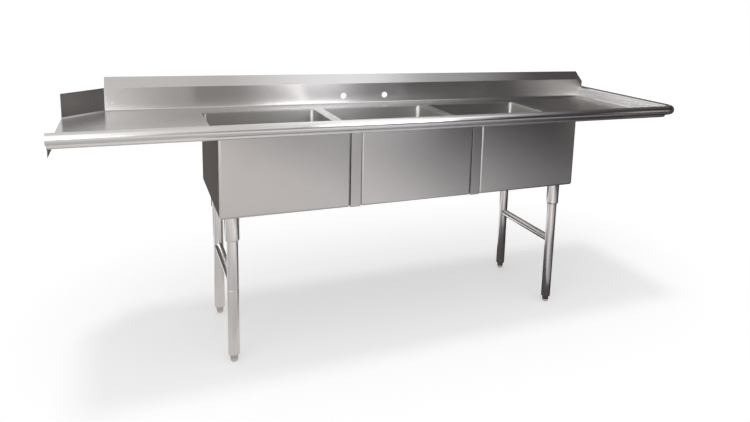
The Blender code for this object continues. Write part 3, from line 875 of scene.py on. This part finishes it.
def welds():
    """Beads where the sockets meet their plates and the rails meet the legs."""
    tree = bead_tree()
    loops = []
    for corner in CORNERS:
        low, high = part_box(f"{corner}_leg_socket")
        middle = (low + high) / 2
        radius = (high.x - low.x) / 2
        loops.append([(x, y, high.z) for x, y in arc((middle.x, middle.y), radius, 0, 360, TURN_STEPS)[:-1]])
    for side in ("left", "right"):
        low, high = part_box(f"{side}_side_rail")
        middle = (low + high) / 2
        radius = (high.x - low.x) / 2
        for depth, way in (("front", 1), ("rear", -1)):
            leg_low, leg_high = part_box(f"{depth}_{side}_leg")
            leg = (leg_high.x - leg_low.x) / 2
            leg_y = (leg_high.y + leg_low.y) / 2
            loop = []
            for across, rise in arc((0, 0), radius, 0, 360, TURN_STEPS)[:-1]:
                y = leg_y + way * math.sqrt(leg**2 - across**2)
                loop.append((middle.x + across, y, middle.z + rise))
            loops.append(loop)
    sizes = {"Ripple Spacing": RIPPLE_SPACING, "Bead Radius": BEAD_RADIUS, "Bead Metal": weld_bead}
    grown("leg_weld_beads", tree, sizes, loop_mesh("weld_paths", loops))


def lock_ring_lugs():
    """Lugs round each lock nut, which a wrench takes hold of."""
    tree = lug_tree()
    for side in BOWLS:
        low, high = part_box(f"{side}_drain_nut")
        outer = (high.x - low.x) / 2
        sizes = {
            "Lug Count": LUG_COUNT,
            "Ring Radius": outer,
            "Lug Size": (LUG_DEPTH, LUG_WIDTH, high.z - low.z - LUG_SHORTER),
            "Ring Middle": (low + high) / 2,
            "Lug Metal": turned_steel,
        }
        grown(f"{side}_lock_ring_lugs", tree, sizes, bpy.data.meshes.new("lug_start"))


rolled_rim()
for side in BOWLS:
    bowl(side)
    drain(side)
    basket(side)
for node in ("bowl_deck", "left_drainboard", "right_drainboard"):
    softened(f"{node}_eased", node, brushed_sheet)
for node in ("backsplash", "angled_splash_panel"):
    softened(f"{node}_formed", node, brushed_sheet)
for node in ("left_filler_strip", "right_filler_strip", "left_board_channel", "right_board_channel"):
    softened(f"{node}_folded", node, brushed_sheet)
for corner in CORNERS:
    softened(f"{corner}_leg_plate_eased", f"{corner}_leg_plate", brushed_sheet)
    leg_parts(corner)
    foot(corner)
    set_screw(corner)
side_rail("left")
side_rail("right")
welds()
lock_ring_lugs()

# Camera: found by fitting the sink's own corners to the photograph, with the image taken as 750 by 422
IMAGE_WIDTH = 750
FOCAL_PIXELS = 652.1
VIEW_MIDDLE = (441.4, 117.0)
FRAME_MIDDLE = (375, 211)
CAMERA_PLACE = Vector((-1.0365, -2.5803, 1.3436))
CAMERA_YAW, CAMERA_PITCH, CAMERA_ROLL = (math.radians(a) for a in (25.911, -10.072, 2.326))


def set_camera():
    """The photograph's own view, with the part of the lens's picture that it keeps."""
    forward = Vector(
        (
            math.sin(CAMERA_YAW) * math.cos(CAMERA_PITCH),
            math.cos(CAMERA_YAW) * math.cos(CAMERA_PITCH),
            math.sin(CAMERA_PITCH),
        )
    )
    right = Vector((math.cos(CAMERA_YAW), -math.sin(CAMERA_YAW), 0))
    up = right.cross(forward)
    rolled_right = right * math.cos(CAMERA_ROLL) + up * math.sin(CAMERA_ROLL)
    rolled_up = up * math.cos(CAMERA_ROLL) - right * math.sin(CAMERA_ROLL)
    turn = Matrix((rolled_right, rolled_up, -forward)).transposed().to_4x4()
    lens = bpy.data.cameras.new("photo_camera")
    lens.sensor_width = 36
    lens.lens = FOCAL_PIXELS / IMAGE_WIDTH * lens.sensor_width
    lens.shift_x = (FRAME_MIDDLE[0] - VIEW_MIDDLE[0]) / IMAGE_WIDTH
    lens.shift_y = (VIEW_MIDDLE[1] - FRAME_MIDDLE[1]) / IMAGE_WIDTH
    camera = bpy.data.objects.new("photo_camera", lens)
    camera.matrix_world = Matrix.Translation(CAMERA_PLACE) @ turn
    bpy.context.scene.collection.objects.link(camera)
    bpy.context.scene.camera = camera


def seen_rays(tree):
    """1 for rays from the camera, glossy surfaces and clear ones, 0 for rays that carry light."""
    path = add_node(tree, "ShaderNodeLightPath").outputs
    either = add_node(
        tree, "ShaderNodeMath", {0: path["Is Camera Ray"], 1: path["Is Glossy Ray"]}, operation="MAXIMUM"
    )
    seen = add_node(
        tree, "ShaderNodeMath", {0: either.outputs[0], 1: path["Is Transmission Ray"]}, operation="MAXIMUM"
    )
    return seen.outputs[0]


# Studio: light from all round, and a floor that glows a little to the eye
AMBIENT = 0.55
FLOOR_GLOW = 0.36
FLOOR_ALBEDO = "#e6e6e6"
FLOOR_REACH = 60


def set_world():
    """White to the eye and in the steel, and dimmer as a light."""
    world = bpy.data.worlds.new("white_studio")
    bpy.context.scene.world = world
    world.use_nodes = True
    tree = world.node_tree
    sky = tree.nodes["Background"]
    sky.inputs["Color"].default_value = (1, 1, 1, 1)
    glow = add_node(
        tree, "ShaderNodeMapRange", {"Value": seen_rays(tree), "To Min": AMBIENT, "To Max": 1.0}
    )
    tree.links.new(glow.outputs["Result"], sky.inputs["Strength"])


def stage_plane(name, corners, material):
    """One flat face that belongs to the studio and not to the sink."""
    mesh = bpy.data.meshes.new(name)
    mesh.from_pydata(corners, [], [tuple(range(len(corners)))])
    mesh.materials.append(material)
    made = bpy.data.objects.new(name, mesh)
    bpy.context.scene.collection.objects.link(made)
    return made


def level_card(left, right, front, rear, z):
    return [(left, front, z), (right, front, z), (right, rear, z), (left, rear, z)]


def upright_card(left, right, y, low, high):
    return [(left, y, low), (right, y, low), (right, y, high), (left, y, high)]


def side_card(x, front, rear, low, high):
    return [(x, front, low), (x, rear, low), (x, rear, high), (x, front, high)]


def set_floor():
    """A pale floor that keeps the sink's shadow and turns white to the eye where it is lit."""
    material, tree = bare_material("pale_studio_floor")
    matt = add_node(tree, "ShaderNodeBsdfDiffuse", {"Color": linear(FLOOR_ALBEDO)})
    lift = add_node(tree, "ShaderNodeMath", {0: seen_rays(tree), 1: FLOOR_GLOW}, operation="MULTIPLY")
    glow = add_node(tree, "ShaderNodeEmission", {"Strength": lift.outputs[0]})
    both = add_node(tree, "ShaderNodeAddShader", {0: matt.outputs[0], 1: glow.outputs[0]})
    add_node(tree, "ShaderNodeOutputMaterial", {"Surface": both.outputs[0]})
    stage_plane("studio_floor", level_card(-FLOOR_REACH, FLOOR_REACH, -FLOOR_REACH, FLOOR_REACH, 0), material)


def toned(tree, way, tones):
    """A colour that changes along a direction. Tones are (metres along it, colour), in order."""
    place = add_node(tree, "ShaderNodeTexCoord").outputs["Object"]
    aim = add_node(tree, "ShaderNodeCombineXYZ", {"X": way[0], "Y": way[1], "Z": way[2]})
    reach = add_node(tree, "ShaderNodeVectorMath", {0: place, 1: aim.outputs[0]}, operation="DOT_PRODUCT")
    start, stop = tones[0][0], tones[-1][0]
    share = add_node(
        tree, "ShaderNodeMapRange", {"Value": reach.outputs["Value"], "From Min": start, "From Max": stop}
    )
    ramp = add_node(tree, "ShaderNodeValToRGB", {"Fac": share.outputs["Result"]})
    stops = ramp.color_ramp.elements
    stops[0].color, stops[1].color = linear(tones[0][1]), linear(tones[-1][1])
    for along, colour in tones[1:-1]:
        stops.new((along - start) / (stop - start)).color = linear(colour)
    return ramp.outputs["Color"]


def room_card(name, corners, tones, way=(1, 0, 0), fade=None, fade_way=None, strength=1.0):
    """A studio wall, floor or lamp that only shows as a reflection in the steel. A fade dims it one way."""
    material, tree = bare_material(name)
    colour = toned(tree, way, tones)
    if fade:
        far = toned(tree, fade_way, fade)
        mixed = add_node(
            tree, "ShaderNodeMix", {"Factor": 1.0, 6: colour, 7: far}, data_type="RGBA", blend_type="MULTIPLY"
        )
        colour = mixed.outputs[2]
    glow = add_node(tree, "ShaderNodeEmission", {"Color": colour, "Strength": strength})
    add_node(tree, "ShaderNodeOutputMaterial", {"Surface": glow.outputs[0]})
    card = stage_plane(name, corners, material)
    card.visible_camera = False
    card.visible_diffuse = False
    card.visible_shadow = False
    card.visible_transmission = False


def set_cards():
    """The room that the steel mirrors: bright to the left and above, dark to the right and behind."""
    left, right, front = -4.0, 4.2, -7.0
    floor_z = 0.012
    room_card(
        "front_wall",
        upright_card(left=-6, right=right, y=front, low=0, high=5),
        [
            (-1.8, "#f6f4f2"),
            (-1.2, "#d8d6d4"),
            (-0.5, "#bcbab8"),
            (0.6, "#a8a4a2"),
            (1.9, "#a8a8ac"),
            (2.6, "#646468"),
            (3.4, "#343032"),
            (4.2, "#1c1a1b"),
        ],
    )
    # A pale panel just above the rim, which puts the bright patch on the backsplash
    room_card(
        "near_reflector",
        upright_card(left=-0.42, right=0.5, y=-0.62, low=0.93, high=1.13),
        [(-0.42, "#5c5a5a"), (-0.17, "#ffffff"), (0.1, "#f8faff"), (0.26, "#747478"), (0.5, "#242428")],
        strength=5.2,
    )
    # Lights the upright corners inside the bowls
    room_card(
        "left_wall",
        side_card(x=-3.6, front=-4.5, rear=0.0, low=0.9, high=3.2),
        [(-4.5, "#ffffff"), (-1.2, "#ffffff"), (0.0, "#8c8a88")],
        way=(0, 1, 0),
        strength=3.2,
    )
    # Lights the left end of the roll
    room_card(
        "camera_softbox",
        upright_card(left=-2.4, right=-0.9, y=-4.2, low=1.1, high=2.3),
        [(-2.4, "#ffffff"), (-1.4, "#ffffff"), (-0.9, "#8c8a88")],
        strength=3.0,
    )
    # The floor, from the camera's side to below the bowls, seen in the bowl fronts, legs and lip
    room_card(
        "front_floor",
        level_card(left, right, front=front, rear=-1.2, z=floor_z),
        [
            (-0.2, "#d0ccca"),
            (0.5, "#e2dedc"),
            (0.9, "#fcf8f6"),
            (1.35, "#d4d0ce"),
            (1.85, "#bebcbe"),
            (2.3, "#a6a5a8"),
            (2.75, "#989698"),
            (3.3, "#444244"),
            (3.8, "#3e3a3c"),
            (4.3, "#141213"),
        ],
        way=(1, -0.5, 0),
        strength=1.22,
    )
    room_card(
        "near_floor",
        level_card(left, right, front=-1.2, rear=-0.42, z=floor_z),
        [(-1.2, "#d0cccc"), (-0.5, "#c4c0be"), (0.3, "#e0e2e8"), (0.7, "#a0a0a6"), (1.1, "#5c585c")],
    )
    room_card(
        "under_floor",
        level_card(left, right, front=-0.42, rear=0.4, z=floor_z),
        [
            (-1.2, "#c8c4c2"),
            (-0.85, "#d4d0ce"),
            (-0.5, "#d4d0ce"),
            (-0.1, "#8c8886"),
            (0.3, "#5a5656"),
            (1.3, "#343032"),
        ],
    )
    room_card(
        "right_floor",
        level_card(1.45, right, front=0.4, rear=4.0, z=floor_z),
        [(1.45, "#605c5c"), (2.0, "#464242")],
    )
    # A dark wall with one pale strip and a pale far end, dimmer higher up
    room_card(
        "right_wall",
        side_card(x=right, front=front, rear=5, low=0, high=5.5),
        [
            (-7.0, "#484444"),
            (-4.25, "#343030"),
            (-3.95, "#d0cac4"),
            (-3.4, "#d0cac4"),
            (-2.9, "#504a48"),
            (1.5, "#605856"),
            (3.2, "#98908a"),
            (4.0, "#c8c0ba"),
            (4.7, "#786e68"),
        ],
        way=(0, 1, 0),
        fade=[(1.2, "#ffffff"), (2.2, "#8c8886")],
        fade_way=(0, 0, 1),
    )
    room_card(
        "ceiling",
        level_card(left, right, front=-0.8, rear=5.0, z=2.8),
        [
            (-1.6, "#d4d2d0"),
            (-0.9, "#d4d2d0"),
            (-0.4, "#ccc9c8"),
            (0.2, "#ffffff"),
            (0.7, "#ffffff"),
            (1.1, "#b4b4b6"),
            (1.6, "#a09ea0"),
            (2.1, "#545052"),
        ],
        fade=[(0.8, "#ffffff"), (2.5, "#eaeaea")],
        fade_way=(0, 1, 0),
        strength=1.3,
    )
    room_card(
        "rear_floor",
        level_card(left, right=-0.4, front=1.0, rear=9.0, z=floor_z),
        [(-4.0, "#544e4a"), (-0.4, "#544e4a")],
    )
    # Darkens the rails and the edges of the legs, and stays below the backsplash
    room_card(
        "rear_low_wall",
        upright_card(left=-2.5, right=2.5, y=1.2, low=0.02, high=0.84),
        [(-2.5, "#625c58"), (2.5, "#625c58")],
    )
    # Leans over the front of the sink and lights the roll from above
    room_card(
        "front_softbox",
        [(left, -4.5, 2.3), (right, -4.5, 2.3), (right, -0.8, 3.6), (left, -0.8, 3.6)],
        [
            (-1.3, "#ffffff"),
            (-0.9, "#d4d2d0"),
            (-0.3, "#bcbab8"),
            (0.3, "#d8d8d8"),
            (0.7, "#ffffff"),
            (1.6, "#ffffff"),
            (2.0, "#b8b8bc"),
            (2.4, "#686668"),
            (3.0, "#343234"),
        ],
        strength=1.5,
    )


def lamp(name, energy, spread, tilt):
    """A far soft lamp. The tilt is in degrees: towards the rear, and towards the right."""
    light = bpy.data.lights.new(name, "SUN")
    light.energy = energy
    light.angle = math.radians(spread)
    made = bpy.data.objects.new(name, light)
    made.rotation_euler = [math.radians(a) for a in (tilt[0], -tilt[1], 0)]
    made.visible_glossy = False
    bpy.context.scene.collection.objects.link(made)


def set_lights():
    lamp("overhead_lamp", energy=0.5, spread=11, tilt=(-4, 3))
    lamp("front_fill", energy=0.5, spread=60, tilt=(24, 12))


set_camera()
set_world()
set_floor()
set_cards()
set_lights()
bpy.context.scene.view_settings.view_transform = "Standard"
